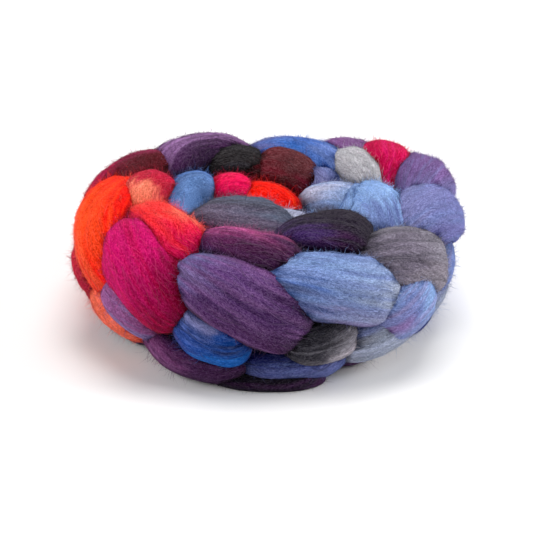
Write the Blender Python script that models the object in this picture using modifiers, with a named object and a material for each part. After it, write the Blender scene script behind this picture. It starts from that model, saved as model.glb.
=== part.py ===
"""A dyed wool roving: one long rope of combed top worked into a looped chain and coiled into a round nest.

Metres, +Z up, the nest resting on z = 0 with its centre over the origin and its front towards -Y.
The chain makes one full turn and its far end curls into the middle, so the solid is one wound form: every
stitch of the chain shows as a plump lobe, narrow where it comes out from under its neighbour and rounded
where it turns back under.
"""

import math
from collections import namedtuple

import bmesh
import bpy
import numpy as np
from mathutils import Matrix

MM = 0.001

# ---- Driving sizes, mm ------------------------------------------------------------------------------
# A turn of the chain: crest_r is the radius of its highest line, outward and inward its half-widths,
# half_height half its height, mid_z the height of its middle, tuck how much its underside draws in.
Turn = namedtuple("Turn", "x y crest_r outward inward half_height mid_z tuck flat")
TURNS = {
    "main": Turn(-1.35, 3.8, 70.0, 30.0, 36.0, 36.0, 29.0, 0.28, 0.78),
    "nest": Turn(-10.35, 13.8, 25.0, 20.0, 24.0, 31.5, 24.5, 0.10, 0.85),
}
CORE_INSET = 16.0  # from a turn's surface in to the packed wool behind its lobes
MIDDLE_R = 54.0  # the packed wool under the curled end: a low cushion
MIDDLE_BOTTOM = 2.0
MIDDLE_TOP = 44.0

# ---- The lobes -------------------------------------------------------------------------------------
# Each lobe is one visible leg of a stitch. Its middle line runs over the turn through three places, each
# an angle round the coil (0 = right, 270 = front) and a tilt round the rope (0 = out, 90 = crest,
# 180 = in, -90 = under). w and t are its half-width and half-thickness in mm, sink0 and sink1 how far
# its two ends dive under the neighbours, lift how far it stands above the turn, narrow the share of the
# width at its start.
Lobe = namedtuple("Lobe", "name turn a0 s0 a1 s1 a2 s2 w t sink0 sink1 lift narrow")
LOBES = [
    # outer row, round the crest
    Lobe("orange", "main", 162, 86, 196, 58, 226, 6, 15, 11, 0, 9, 2.0, 0.85),
    Lobe("magenta", "main", 195, 86, 225, 50, 247, -5, 17, 12, 9, 6, 1.5, 0.50),
    Lobe("purple", "main", 232, 70, 259, 36, 284, 0, 17, 12, 9, 6, 1.5, 0.42),
    Lobe("skyblue", "main", 256, 68, 288, 41, 313, 17, 16, 12, 9, 6, 1.5, 0.42),
    Lobe("grey", "main", 289, 74, 317, 46, 337, 20, 16, 11, 9, 7, 0.5, 0.45),
    Lobe("lavender", "main", 312, 82, 344, 68, 366, 28, 17, 12, 8, 7, 3.0, 0.42),
    Lobe("plumtop", "main", 344, 96, 373, 62, 394, 32, 16, 13, 8, 7, 7.0, 0.45),
    Lobe("crimson", "main", 364, 104, 391, 80, 407, 44, 15, 13, 9, 7, 4.5, 0.45),
    Lobe("smallplum", "main", 386, 98, 409, 76, 430, 42, 13, 10, 9, 7, 0.0, 0.45),
    Lobe("blue", "main", 392, 146, 426, 108, 464, 104, 18, 11, 9, 6, -0.5, 0.50),
    Lobe("aubergine", "main", 449, 106, 479, 92, 510, 99, 15, 11, 8, 7, 2.0, 0.50),
    Lobe("maroon", "main", 480, 94, 512, 74, 544, 44, 17, 11, 8, 8, 0.5, 0.50),
    # inner row
    Lobe("peachtop", "main", 144, 120, 170, 104, 198, 98, 12, 11, 7, 8, 0.5, 0.65),
    Lobe("coral", "main", 192, 106, 221, 98, 247, 85, 14, 11, 3, 7, 3.0, 0.75),
    Lobe("plumlens", "main", 232, 100, 260, 94, 284, 72, 13, 11, 5, 7, 2.0, 0.65),
    Lobe("inkpurple", "main", 267, 114, 293, 106, 314, 86, 18, 12, 8, 6, 5.5, 0.55),
    Lobe("paleblue", "main", 394, 178, 344, 158, 302, 86, 27, 12, 0, 8, -2.5, 0.95),
    Lobe("silver", "main", 364, 110, 392, 105, 418, 92, 11.5, 11, 8, 7, 1.5, 0.60),
    Lobe("redbrown", "main", 402, 163, 433, 147, 457, 138, 17, 13, 8, 8, 1.5, 0.70),
    Lobe("black", "main", 446, 132, 464, 120, 484, 119, 13, 11, 8, 8, 0.0, 0.60),
    # outer bulges below the crest row
    Lobe("mauvesliver", "main", 211, 22, 227, 5, 241, -5, 12, 10, 6, 6, -1.0, 0.70),
    Lobe("indigobump", "main", 241, 6, 254, -11, 266, -14, 13.5, 10, 6, 5, -1.0, 0.80),
    Lobe("brownbump", "main", 272, -18, 285, -15, 296, -2, 12.5, 10, 6, 6, -1.0, 0.80),
    Lobe("bluebump", "main", 296, -6, 311, 3, 324, 22, 14, 10, 6, 6, 1.0, 0.80),
    # bottom row
    Lobe("farred", "main", 188, 32, 201, 16, 216, 8, 11, 9, 6, 6, -2.0, 0.80),
    Lobe("coralfoot", "main", 204, 18, 219, -10, 236, -22, 13, 10, 6, 6, -2.5, 0.80),
    Lobe("plumfoot", "main", 229, -14, 246, -42, 268, -48, 14, 10, 6, 6, 1.5, 0.80),
    Lobe("indigofoot", "main", 250, -50, 276, -48, 296, -28, 13, 10, 6, 6, 0.0, 0.80),
    Lobe("greyfoot", "main", 286, -33, 303, -22, 322, -4, 14, 10, 6, 6, -1.0, 0.80),
    Lobe("darkfoot", "main", 246, -62, 268, -60, 290, -56, 11, 9, 6, 6, 7.0, 0.80),
    # the far end of the chain, curled into the middle
    Lobe("nestblue", "nest", 208, 32, 168, 38, 122, 60, 13, 12, 4, 6, 8.5, 0.8),
    Lobe("nestcrimson", "nest", 140, 84, 116, 84, 90, 90, 12, 10, 6, 6, -1.0, 0.8),
    Lobe("nestorange", "nest", 138, 116, 90, 110, 20, 104, 12, 9, 6, 6, -5.5, 0.7),
    Lobe("nestpale", "main", 84, 178, 50, 163, 12, 144, 10, 9, 4, 4, 2.0, 0.7),
    Lobe("nestslate", "nest", 196, 80, 252, 94, 322, 78, 17, 11, 6, 6, 4.0, 0.8),
    Lobe("nestmist", "main", 44, 182, -8, 173, -66, 172, 12, 10, 4, 6, 20.0, 0.8),
    Lobe("nestcharcoal", "main", 312, 172, 270, 172, 228, 172, 12, 10, 6, 6, 15.0, 0.8),
    Lobe("nestviolet", "main", 164, 176, 118, 177, 66, 178, 13, 10, 12, 4, 25.0, 0.8),
    Lobe("nesttip", "main", 118, 178, 58, 177, -6, 176, 12, 11, 4, 6, 30.0, 0.8),
]


# The stitches that the front rows leave off, spaced evenly: the first lobe's middle angle, the pitch
# from each to the next, how far each reaches either way, and the tilts of its start, middle and end.
Row = namedtuple("Row", "name first pitch count reach s0 s1 s2 w t sink0 sink1 lift narrow")
ROWS = [
    Row("bulge", 341, 28.5, 8, 15, -6, 4, 24, 14, 11, 6, 6, -7.0, 0.60),
    Row("shoulder", 81, 28.5, 3, 16, 24, 38, 62, 14, 11, 6, 6, -5.5, 0.60),
    Row("foot", 333, 27.5, 9, 19, -50, -38, -14, 14, 11, 6, 6, -6.5, 0.60),
    Row("under", 10, 32.7, 11, 22, -102, -86, -62, 16, 11, 6, 6, -5.5, 0.50),
    Row("inside", 196, 43.0, 7, 24, 172, 158, 148, 15, 11, 6, 6, -1.0, 0.60),
]


def row_lobes(row):
    for k in range(row.count):
        mid = row.first + k * row.pitch
        yield Lobe(f"{row.name}{k}", "main", mid - row.reach, row.s0, mid, row.s1, mid + row.reach, row.s2,
                   row.w, row.t, row.sink0, row.sink1, row.lift, row.narrow)


def every_lobe():
    return LOBES + [lobe for row in ROWS for lobe in row_lobes(row)]


def section(turn, tilt):
    """Offset (outward, up) from the turn's crest circle at a tilt in radians, in mm."""
    c, s = np.cos(tilt), np.sin(tilt)
    inner = c < 0
    power = np.where(inner & (s > 0), turn.flat, 1.0)
    reach = np.where(inner, turn.inward, turn.outward) * np.where(s < 0, 1 - turn.tuck * s * s, 1)
    out = np.sign(c) * np.abs(c) ** power * reach
    rise = np.sign(s) * np.abs(s) ** power * turn.half_height
    return out, rise


def on_turn(turn, around, tilt):
    """The point of the turn's surface at two angles in degrees, and its outward normal."""
    a, b = np.radians(around), np.radians(tilt)

    def point(angle, spin):
        out, rise = section(turn, spin)
        r = turn.crest_r + out
        x = turn.x + r * np.cos(angle)
        return np.stack([x, turn.y + r * np.sin(angle), turn.mid_z + rise], -1)

    e = 1e-3
    along = point(a + e, b) - point(a - e, b)
    across = point(a, b + e) - point(a, b - e)
    normal = np.cross(along, across)
    return point(a, b), normal / np.linalg.norm(normal, axis=-1, keepdims=True)


def smooth(x):
    x = np.clip(x, 0, 1)
    return x * x * (3 - 2 * x)


def lobe_frames(lobe, count):
    """The lobe's middle line, its side and outward directions, half-widths and half-thicknesses."""
    turn = TURNS[lobe.turn]
    fine = np.linspace(0, 1, 241)
    b0, b1, b2 = (1 - fine) * (1 - 2 * fine), 4 * fine * (1 - fine), fine * (2 * fine - 1)
    around = lobe.a0 * b0 + lobe.a1 * b1 + lobe.a2 * b2
    tilt = lobe.s0 * b0 + lobe.s1 * b1 + lobe.s2 * b2
    place, normal = on_turn(turn, around, tilt)
    sink = lobe.sink0 * (1 - smooth(fine / 0.40)) + lobe.sink1 * smooth((fine - 0.68) / 0.32)
    line = place - normal * (lobe.t + sink - lobe.lift)[..., None]
    steps = np.linalg.norm(np.diff(line, axis=0), axis=1)
    far = np.concatenate([[0], np.cumsum(steps)])
    length = far[-1]
    # stations crowd towards both ends, where the tube closes
    u = (1 - np.cos(np.linspace(0, math.pi, count))) / 2
    s = u * length

    def at(values):
        return np.stack([np.interp(s, far, values[:, k]) for k in range(3)], -1)

    centre, out = at(line), at(normal)
    ahead = np.gradient(centre, axis=0)
    ahead /= np.linalg.norm(ahead, axis=1, keepdims=True)
    side = np.cross(ahead, out)
    side /= np.linalg.norm(side, axis=1, keepdims=True)
    out = np.cross(side, ahead)
    grow = lobe.narrow + (1 - lobe.narrow) * smooth(u / 0.55)
    cap0, cap1 = lobe.w * lobe.narrow, lobe.w * 0.95
    near = np.sqrt(np.clip(1 - np.clip((cap0 - s) / cap0, 0, 1) ** 2, 0, 1))
    last = np.sqrt(np.clip(1 - np.clip((s - length + cap1) / cap1, 0, 1) ** 2, 0, 1))
    close = near * last
    thick = (0.65 + 0.35 * smooth(u / 0.5)) * close
    return centre, side, out, lobe.w * grow * close, lobe.t * thick


# ---- Solids ------------------------------------------------------------------------------------------
LOBE_SIDES = 26
LOBE_STATIONS = 30
VOXEL = 1.6  # mm, finest fold kept
SMOOTHING = 2
FACES_KEPT = 0.072
TABLE = 260.0  # mm, side of the block that flattens the underside
WOOL = (0.42, 0.20, 0.42, 1.0)


def lobe_mesh(lobe):
    """A closed tube that swells from a narrow start and rounds off at both ends."""
    centre, side, out, w, t = lobe_frames(lobe, LOBE_STATIONS)
    spin = np.linspace(0, 2 * math.pi, LOBE_SIDES, endpoint=False)
    rings = (
        centre[:, None, :]
        + side[:, None, :] * (w[:, None] * np.cos(spin))[..., None]
        + out[:, None, :] * (t[:, None] * np.sin(spin))[..., None]
    )
    inner = rings[1:-1]
    points = [centre[0], *inner.reshape(-1, 3), centre[-1]]
    last = len(points) - 1
    faces = []
    for i in range(len(inner) - 1):
        for j in range(LOBE_SIDES):
            a, b = 1 + i * LOBE_SIDES + j, 1 + i * LOBE_SIDES + (j + 1) % LOBE_SIDES
            faces.append((a, b, b + LOBE_SIDES, a + LOBE_SIDES))
    top = 1 + (len(inner) - 1) * LOBE_SIDES
    for j in range(LOBE_SIDES):
        k = (j + 1) % LOBE_SIDES
        faces.append((0, 1 + k, 1 + j))
        faces.append((last, top + j, top + k))
    return points, faces


def core_mesh(name):
    """The packed wool of a turn, behind its lobes: the turn's own form, set in."""
    around, tilt = np.meshgrid(np.arange(0, 360, 4.0), np.arange(0, 360, 12.0), indexing="ij")
    place, normal = on_turn(TURNS[name], around, tilt)
    points = (place - normal * CORE_INSET).reshape(-1, 3)
    m, n = around.shape
    faces = []
    for i in range(m):
        for j in range(n):
            k, l = (i + 1) % m, (j + 1) % n
            faces.append((i * n + j, k * n + j, k * n + l, i * n + l))
    return list(points), faces


def add(bm, points, faces):
    """Adds one closed shape to the mesh, its faces turned outwards."""
    corners = [bm.verts.new([float(c) * MM for c in p]) for p in points]
    made = [bm.faces.new([corners[k] for k in face]) for face in faces]
    bmesh.ops.recalc_face_normals(bm, faces=made)


def collection(name, helper=False):
    made = bpy.data.collections.new(name)
    bpy.context.scene.collection.children.link(made)
    made.hide_render = helper
    return made


def wool():
    made = bpy.data.materials.new("dyed_wool")
    made.use_nodes = True
    shader = made.node_tree.nodes["Principled BSDF"]
    shader.inputs["Base Color"].default_value = WOOL
    shader.inputs["Roughness"].default_value = 0.95
    shader.inputs["Metallic"].default_value = 0.0
    return made


def main():
    for old in list(bpy.data.objects):
        bpy.data.objects.remove(old)
    roving = collection("wool_roving")
    helpers = collection("cutters", helper=True)

    block = bpy.data.meshes.new("table_block")
    bm = bmesh.new()
    bmesh.ops.create_cube(bm, size=TABLE * MM)
    bm.to_mesh(block)
    bm.free()
    table = bpy.data.objects.new("table_block", block)
    table.location = (0, 0, -TABLE / 2 * MM)
    table.hide_render = True
    table.display_type = "WIRE"
    helpers.objects.link(table)

    bm = bmesh.new()
    for lobe in every_lobe():
        add(bm, *lobe_mesh(lobe))
    for name in TURNS:
        add(bm, *core_mesh(name))
    middle, half = (MIDDLE_TOP + MIDDLE_BOTTOM) / 2, (MIDDLE_TOP - MIDDLE_BOTTOM) / 2
    over = TURNS["main"]
    cushion = Matrix.Translation((over.x * MM, over.y * MM, middle * MM))
    cushion = cushion @ Matrix.Diagonal((MIDDLE_R * MM, MIDDLE_R * MM, half * MM, 1))
    bmesh.ops.create_icosphere(bm, subdivisions=4, radius=1, matrix=cushion)
    mesh = bpy.data.meshes.new("roving_braid")
    bm.to_mesh(mesh)
    bm.free()
    mesh.materials.append(wool())
    braid = bpy.data.objects.new("roving_braid", mesh)
    roving.objects.link(braid)

    joined = braid.modifiers.new("one body", "REMESH")
    joined.mode = "VOXEL"
    joined.voxel_size = VOXEL * MM
    joined.use_smooth_shade = True
    soften = braid.modifiers.new("soft folds", "SMOOTH")
    soften.factor = 0.5
    soften.iterations = SMOOTHING
    fewer = braid.modifiers.new("facets", "DECIMATE")
    fewer.ratio = FACES_KEPT
    flat = braid.modifiers.new("resting face", "BOOLEAN")
    flat.operation = "DIFFERENCE"
    flat.solver = "EXACT"
    flat.object = table


main()
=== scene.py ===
"""Looks of the wool roving: a chain of dyed combed top coiled into a round nest.

The shape tables are the solid's own. Every stitch is a plump lobe of parallel fibre with grooves along it,
coloured from named dyes with painted shade in its folds and a painted glint on its fibres, with lying
strands and a short nap of closed tapered fibres over it.
"""

import math
from collections import namedtuple

import bpy
import numpy as np
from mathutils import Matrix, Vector
from mathutils.bvhtree import BVHTree


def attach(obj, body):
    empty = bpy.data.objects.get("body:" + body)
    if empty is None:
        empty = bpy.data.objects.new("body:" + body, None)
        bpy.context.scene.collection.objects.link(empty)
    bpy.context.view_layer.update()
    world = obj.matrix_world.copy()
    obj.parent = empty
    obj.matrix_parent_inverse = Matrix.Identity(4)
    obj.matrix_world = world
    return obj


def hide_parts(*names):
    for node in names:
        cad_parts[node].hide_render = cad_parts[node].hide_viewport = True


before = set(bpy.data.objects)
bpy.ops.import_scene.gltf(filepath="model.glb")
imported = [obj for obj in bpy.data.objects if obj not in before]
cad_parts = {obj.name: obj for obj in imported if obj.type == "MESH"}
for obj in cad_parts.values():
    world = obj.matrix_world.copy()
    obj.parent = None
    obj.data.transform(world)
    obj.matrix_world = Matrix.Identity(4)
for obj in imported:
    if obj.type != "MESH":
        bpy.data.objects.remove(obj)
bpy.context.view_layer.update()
MM = 0.001

# ---- Driving sizes, mm ----
# A turn of the chain: crest_r is the radius of its highest line, outward and inward its half-widths,
# half_height half its height, mid_z the height of its middle, tuck how much its underside draws in.
Turn = namedtuple("Turn", "x y crest_r outward inward half_height mid_z tuck flat")
TURNS = {
    "main": Turn(-1.35, 3.8, 70.0, 30.0, 36.0, 36.0, 29.0, 0.28, 0.78),
    "nest": Turn(-10.35, 13.8, 25.0, 20.0, 24.0, 31.5, 24.5, 0.10, 0.85),
}
CORE_INSET = 16.0  # from a turn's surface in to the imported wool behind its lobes
MIDDLE_R = 54.0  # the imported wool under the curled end: a low cushion
MIDDLE_BOTTOM = 2.0
MIDDLE_TOP = 44.0

# ---- The lobes ----
# Each lobe is one visible leg of a stitch. Its middle line runs over the turn through three places, each
# an angle round the coil (0 = right, 270 = front) and a tilt round the rope (0 = out, 90 = crest,
# 180 = in, -90 = under). w and t are its half-width and half-thickness in mm, sink0 and sink1 how far
# its two ends dive under the neighbours, lift how far it stands above the turn, narrow the share of the
# width at its start.
Lobe = namedtuple("Lobe", "name turn a0 s0 a1 s1 a2 s2 w t sink0 sink1 lift narrow")
LOBES = [
    # outer row, round the crest
    Lobe("orange", "main", 162, 86, 196, 58, 226, 6, 15, 11, 0, 9, 2.0, 0.85),
    Lobe("magenta", "main", 195, 86, 225, 50, 247, -5, 17, 12, 9, 6, 1.5, 0.50),
    Lobe("purple", "main", 232, 70, 259, 36, 284, 0, 17, 12, 9, 6, 1.5, 0.42),
    Lobe("skyblue", "main", 256, 68, 288, 41, 313, 17, 16, 12, 9, 6, 1.5, 0.42),
    Lobe("grey", "main", 289, 74, 317, 46, 337, 20, 16, 11, 9, 7, 0.5, 0.45),
    Lobe("lavender", "main", 312, 82, 344, 68, 366, 28, 17, 12, 8, 7, 3.0, 0.42),
    Lobe("plumtop", "main", 344, 96, 373, 62, 394, 32, 16, 13, 8, 7, 7.0, 0.45),
    Lobe("crimson", "main", 364, 104, 391, 80, 407, 44, 15, 13, 9, 7, 4.5, 0.45),
    Lobe("smallplum", "main", 386, 98, 409, 76, 430, 42, 13, 10, 9, 7, 0.0, 0.45),
    Lobe("blue", "main", 392, 146, 426, 108, 464, 104, 18, 11, 9, 6, -0.5, 0.50),
    Lobe("aubergine", "main", 449, 106, 479, 92, 510, 99, 15, 11, 8, 7, 2.0, 0.50),
    Lobe("maroon", "main", 480, 94, 512, 74, 544, 44, 17, 11, 8, 8, 0.5, 0.50),
    # inner row
    Lobe("peachtop", "main", 144, 120, 170, 104, 198, 98, 12, 11, 7, 8, 0.5, 0.65),
    Lobe("coral", "main", 192, 106, 221, 98, 247, 85, 14, 11, 3, 7, 3.0, 0.75),
    Lobe("plumlens", "main", 232, 100, 260, 94, 284, 72, 13, 11, 5, 7, 2.0, 0.65),
    Lobe("inkpurple", "main", 267, 114, 293, 106, 314, 86, 18, 12, 8, 6, 5.5, 0.55),
    Lobe("paleblue", "main", 394, 178, 344, 158, 302, 86, 27, 12, 0, 8, -2.5, 0.95),
    Lobe("silver", "main", 364, 110, 392, 105, 418, 92, 11.5, 11, 8, 7, 1.5, 0.60),
    Lobe("redbrown", "main", 402, 163, 433, 147, 457, 138, 17, 13, 8, 8, 1.5, 0.70),
    Lobe("black", "main", 446, 132, 464, 120, 484, 119, 13, 11, 8, 8, 0.0, 0.60),
    # outer bulges below the crest row
    Lobe("mauvesliver", "main", 211, 22, 227, 5, 241, -5, 12, 10, 6, 6, -1.0, 0.70),
    Lobe("indigobump", "main", 241, 6, 254, -11, 266, -14, 13.5, 10, 6, 5, -1.0, 0.80),
    Lobe("brownbump", "main", 272, -18, 285, -15, 296, -2, 12.5, 10, 6, 6, -1.0, 0.80),
    Lobe("bluebump", "main", 296, -6, 311, 3, 324, 22, 14, 10, 6, 6, 1.0, 0.80),
    # bottom row
    Lobe("farred", "main", 188, 32, 201, 16, 216, 8, 11, 9, 6, 6, -2.0, 0.80),
    Lobe("coralfoot", "main", 204, 18, 219, -10, 236, -22, 13, 10, 6, 6, -2.5, 0.80),
    Lobe("plumfoot", "main", 229, -14, 246, -42, 268, -48, 14, 10, 6, 6, 1.5, 0.80),
    Lobe("indigofoot", "main", 250, -50, 276, -48, 296, -28, 13, 10, 6, 6, 0.0, 0.80),
    Lobe("greyfoot", "main", 286, -33, 303, -22, 322, -4, 14, 10, 6, 6, -1.0, 0.80),
    Lobe("darkfoot", "main", 246, -62, 268, -60, 290, -56, 11, 9, 6, 6, 7.0, 0.80),
    # the far end of the chain, curled into the middle
    Lobe("nestblue", "nest", 208, 32, 168, 38, 122, 60, 13, 12, 4, 6, 8.5, 0.8),
    Lobe("nestcrimson", "nest", 140, 84, 116, 84, 90, 90, 12, 10, 6, 6, -1.0, 0.8),
    Lobe("nestorange", "nest", 138, 116, 90, 110, 20, 104, 12, 9, 6, 6, -5.5, 0.7),
    Lobe("nestpale", "main", 84, 178, 50, 163, 12, 144, 10, 9, 4, 4, 2.0, 0.7),
    Lobe("nestslate", "nest", 196, 80, 252, 94, 322, 78, 17, 11, 6, 6, 4.0, 0.8),
    Lobe("nestmist", "main", 44, 182, -8, 173, -66, 172, 12, 10, 4, 6, 20.0, 0.8),
    Lobe("nestcharcoal", "main", 312, 172, 270, 172, 228, 172, 12, 10, 6, 6, 15.0, 0.8),
    Lobe("nestviolet", "main", 164, 176, 118, 177, 66, 178, 13, 10, 12, 4, 25.0, 0.8),
    Lobe("nesttip", "main", 118, 178, 58, 177, -6, 176, 12, 11, 4, 6, 30.0, 0.8),
]


# The stitches that the front rows leave off, spaced evenly: the first lobe's middle angle, the pitch
# from each to the next, how far each reaches either way, and the tilts of its start, middle and end.
Row = namedtuple("Row", "name first pitch count reach s0 s1 s2 w t sink0 sink1 lift narrow")
ROWS = [
    Row("bulge", 341, 28.5, 8, 15, -6, 4, 24, 14, 11, 6, 6, -7.0, 0.60),
    Row("shoulder", 81, 28.5, 3, 16, 24, 38, 62, 14, 11, 6, 6, -5.5, 0.60),
    Row("foot", 333, 27.5, 9, 19, -50, -38, -14, 14, 11, 6, 6, -6.5, 0.60),
    Row("under", 10, 32.7, 11, 22, -102, -86, -62, 16, 11, 6, 6, -5.5, 0.50),
    Row("inside", 196, 43.0, 7, 24, 172, 158, 148, 15, 11, 6, 6, -1.0, 0.60),
]


def row_lobes(row):
    for k in range(row.count):
        mid = row.first + k * row.pitch
        yield Lobe(f"{row.name}{k}", "main", mid - row.reach, row.s0, mid, row.s1, mid + row.reach, row.s2,
                   row.w, row.t, row.sink0, row.sink1, row.lift, row.narrow)


def every_lobe():
    return LOBES + [lobe for row in ROWS for lobe in row_lobes(row)]


def section(turn, tilt):
    """Offset (outward, up) from the turn's crest circle at a tilt in radians, in mm."""
    c, s = np.cos(tilt), np.sin(tilt)
    inner = c < 0
    power = np.where(inner & (s > 0), turn.flat, 1.0)
    reach = np.where(inner, turn.inward, turn.outward) * np.where(s < 0, 1 - turn.tuck * s * s, 1)
    out = np.sign(c) * np.abs(c) ** power * reach
    rise = np.sign(s) * np.abs(s) ** power * turn.half_height
    return out, rise


def on_turn(turn, around, tilt):
    """The point of the turn's surface at two angles in degrees, and its outward normal."""
    a, b = np.radians(around), np.radians(tilt)

    def point(angle, spin):
        out, rise = section(turn, spin)
        r = turn.crest_r + out
        x = turn.x + r * np.cos(angle)
        return np.stack([x, turn.y + r * np.sin(angle), turn.mid_z + rise], -1)

    e = 1e-3
    along = point(a + e, b) - point(a - e, b)
    across = point(a, b + e) - point(a, b - e)
    normal = np.cross(along, across)
    return point(a, b), normal / np.linalg.norm(normal, axis=-1, keepdims=True)


def smooth(x):
    x = np.clip(x, 0, 1)
    return x * x * (3 - 2 * x)


def lobe_frames(lobe, count):
    """The lobe's middle line, its side and outward directions, half-widths and half-thicknesses."""
    turn = TURNS[lobe.turn]
    fine = np.linspace(0, 1, 241)
    b0, b1, b2 = (1 - fine) * (1 - 2 * fine), 4 * fine * (1 - fine), fine * (2 * fine - 1)
    around = lobe.a0 * b0 + lobe.a1 * b1 + lobe.a2 * b2
    tilt = lobe.s0 * b0 + lobe.s1 * b1 + lobe.s2 * b2
    place, normal = on_turn(turn, around, tilt)
    sink = lobe.sink0 * (1 - smooth(fine / 0.40)) + lobe.sink1 * smooth((fine - 0.68) / 0.32)
    line = place - normal * (lobe.t + sink - lobe.lift)[..., None]
    steps = np.linalg.norm(np.diff(line, axis=0), axis=1)
    far = np.concatenate([[0], np.cumsum(steps)])
    length = far[-1]
    # stations crowd towards both ends, where the tube closes
    u = (1 - np.cos(np.linspace(0, math.pi, count))) / 2
    s = u * length

    def at(values):
        return np.stack([np.interp(s, far, values[:, k]) for k in range(3)], -1)

    centre, out = at(line), at(normal)
    ahead = np.gradient(centre, axis=0)
    ahead /= np.linalg.norm(ahead, axis=1, keepdims=True)
    side = np.cross(ahead, out)
    side /= np.linalg.norm(side, axis=1, keepdims=True)
    out = np.cross(side, ahead)
    grow = lobe.narrow + (1 - lobe.narrow) * smooth(u / 0.55)
    cap0, cap1 = lobe.w * lobe.narrow, lobe.w * 0.95
    near = np.sqrt(np.clip(1 - np.clip((cap0 - s) / cap0, 0, 1) ** 2, 0, 1))
    last = np.sqrt(np.clip(1 - np.clip((s - length + cap1) / cap1, 0, 1) ** 2, 0, 1))
    close = near * last
    thick = (0.65 + 0.35 * smooth(u / 0.5)) * close
    return centre, side, out, lobe.w * grow * close, lobe.t * thick


# ---- Dyes ----
DYES = {
    "orange": "F44A1E", "red": "E0120E", "fire": "F01A0C", "peach": "E27A60", "rose": "E45848",
    "coral": "EC2C30", "magenta": "C81468", "raspberry": "96234E", "crimson": "BC0A48", "cherry": "DC1250",
    "wine": "74092E", "maroon": "52161F", "garnet": "70202E", "redbrown": "5E3236", "ruby": "B41E38",
    "brick": "E2664E", "purple": "5E3E74", "orchid": "7C5688", "heliotrope": "6E5286", "mauve": "94588E",
    "mallow": "9C72A6", "magentapink": "A24A7C", "berry": "682C58", "plum": "4A2A50", "aubergine": "33213A",
    "ink": "2B2531", "black": "2C292B", "violet": "4A3468", "indigo": "2E3272", "royal": "264F9E",
    "azure": "4468B0", "cobalt": "5470B0", "cerulean": "1468BC", "teal": "245A78", "nightblue": "1A4088",
    "cornflower": "7288B8", "periwinkle": "7080B4", "dusk": "576197", "sky": "83A0CE", "mist": "8E95A8",
    "pearl": "9CA3BE", "pale": "B8BAD2", "lavender": "7678A8", "lilac": "8A82AC", "wisteria": "6C6AA0",
    "bluegrey": "6872A0", "blue": "5C7CB0", "slate": "575D70", "heather": "6A5A70", "charcoal": "302F36",
    "darkgrey": "36343C", "grey": "726A7A", "ash": "7C7982", "taupe": "8A828C", "beige": "AAA2AC",
    "silver": "AFAEB3", "powder": "8DACDB",
}

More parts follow.
